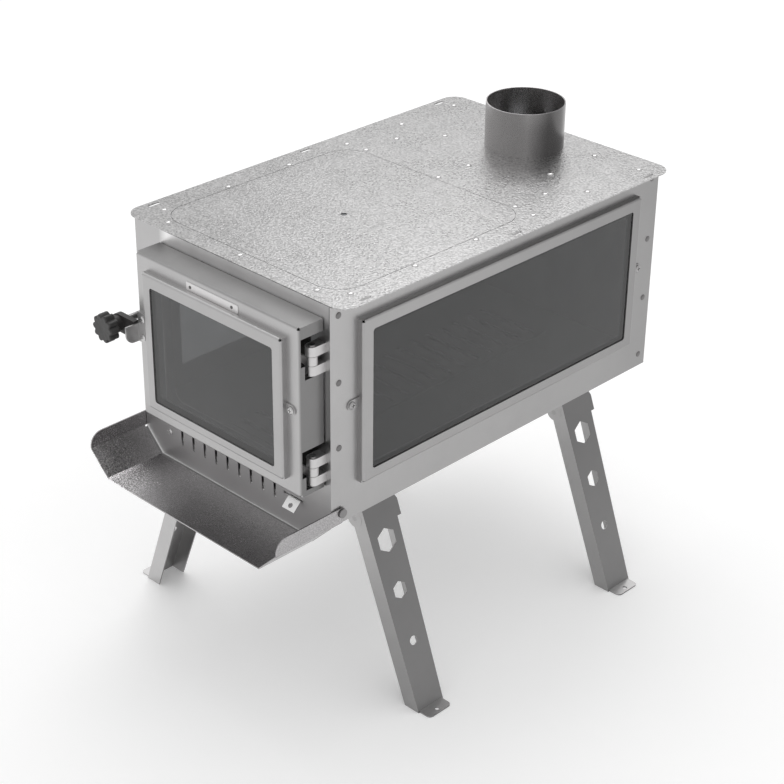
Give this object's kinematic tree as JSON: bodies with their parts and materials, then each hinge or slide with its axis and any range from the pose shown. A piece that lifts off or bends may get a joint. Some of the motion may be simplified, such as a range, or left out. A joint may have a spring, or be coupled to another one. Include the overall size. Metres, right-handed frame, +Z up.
{
  "type": "tent wood stove",
  "caption": "Folding tent wood stove of sheet steel with a glazed hinged door, side windows, lift-off cooktop lid, flue collar, front tray, air damper and splayed folding legs.",
  "frame": {"origin": "middle of the footprint's bounding box, on the floor under the feet", "axes": "+X to the right seen from the front, +Y from the front door to the rear panel, +Z up"},
  "size_m": [0.3346, 0.46, 0.4067],
  "materials": {
    "sheet_steel": "thin stainless sheet, cold rolled, satin",
    "top_steel": "stainless plate with a fine bead blasted grain",
    "firebox_steel": "heat darkened steel sheet",
    "collar_steel": "rolled stainless tube, semi bright",
    "ceramic_glass": "heat proof ceramic glass, slightly grey",
    "fibre_seal": "woven glass fibre seal, matt black",
    "rivet_steel": "domed steel rivets",
    "pin_steel": "turned steel",
    "hinge_steel": "cast stainless, blasted",
    "black_steel": "black coated steel",
    "black_plastic": "black moulded thermoset, half matt",
    "tray_steel": "thin stainless sheet, reflecting",
    "leg_steel": "folded stainless sheet, satin"
  },
  "bodies": {
    "root": {"front_panel": "sheet_steel", "side_panel_right": "sheet_steel", "side_panel_left": "sheet_steel", "rear_panel": "sheet_steel", "bottom_panel": "sheet_steel", "top_plate": "top_steel", "lid_seat_strip": "sheet_steel", "flue_doubler": "sheet_steel", "flue_collar": "collar_steel", "baffle": "firebox_steel", "firebox_floor": "firebox_steel", "grate": "firebox_steel", "window_frame_right": "sheet_steel", "window_frame_left": "sheet_steel", "window_glass_right": "ceramic_glass", "window_glass_left": "ceramic_glass", "window_gasket_right": "fibre_seal", "window_gasket_left": "fibre_seal", "top_rivets": "rivet_steel", "side_rivets": "rivet_steel", "front_rivets": "rivet_steel", "frame_screws": "pin_steel", "hinge_blocks": "hinge_steel", "hinge_pins": "pin_steel", "latch_keeper": "sheet_steel", "damper_guides": "sheet_steel", "leg_brackets": "sheet_steel", "leg_pins": "pin_steel", "tray_pins": "pin_steel"},
    "door": {"door_pan": "sheet_steel", "door_window_frame": "sheet_steel", "door_glass": "ceramic_glass", "door_gasket": "fibre_seal", "door_hinge_knuckles": "hinge_steel", "latch_bracket": "sheet_steel", "latch_arm": "black_steel", "door_fasteners": "rivet_steel"},
    "latch": {"star_knob": "black_plastic", "latch_shaft": "pin_steel"},
    "damper": {"damper_slide": "sheet_steel"},
    "tray": {"front_tray": "tray_steel"},
    "lid": {"cooktop_lid": "top_steel"},
    "leg_front_right": {"leg_front_right": "leg_steel"},
    "leg_rear_right": {"leg_rear_right": "leg_steel"},
    "leg_front_left": {"leg_front_left": "leg_steel"},
    "leg_rear_left": {"leg_rear_left": "leg_steel"}
  },
  "joints": [
    {"name": "door_hinge", "type": "hinge", "parent": "root", "child": "door", "pos_m": [0.08225, -0.1804, 0.27014], "axis": [0, 0, 1], "range_deg": [0, 110]},
    {"name": "latch_turn", "type": "hinge", "parent": "door", "child": "latch", "pos_m": [-0.12825, -0.196, 0.28414], "axis": [0, 1, 0], "range_deg": [0, 90]},
    {"name": "damper_slide", "type": "slide", "parent": "root", "child": "damper", "axis": [1, 0, 0], "range_m": [-0.00725, 0]},
    {"name": "tray_fold", "type": "hinge", "parent": "root", "child": "tray", "pos_m": [-0.02325, -0.159, 0.17984], "axis": [1, 0, 0], "range_deg": [-50, 0]},
    {"name": "lid_lift", "type": "slide", "parent": "root", "child": "lid", "axis": [0, 0, 1], "range_m": [0, 0.06]},
    {"name": "leg_front_right_fold", "type": "hinge", "parent": "root", "child": "leg_front_right", "pos_m": [0.08275, -0.11765, 0.15914], "axis": [0, 1, 0], "range_deg": [0, 110.8]},
    {"name": "leg_rear_right_fold", "type": "hinge", "parent": "root", "child": "leg_rear_right", "pos_m": [0.08275, 0.1316, 0.15914], "axis": [0, 1, 0], "range_deg": [0, 110.8]},
    {"name": "leg_front_left_fold", "type": "hinge", "parent": "root", "child": "leg_front_left", "pos_m": [-0.08275, -0.15125, 0.15914], "axis": [0, -1, 0], "range_deg": [0, 110.8]},
    {"name": "leg_rear_left_fold", "type": "hinge", "parent": "root", "child": "leg_rear_left", "pos_m": [-0.08275, 0.098, 0.15914], "axis": [0, -1, 0], "range_deg": [0, 110.8]}
  ]
}
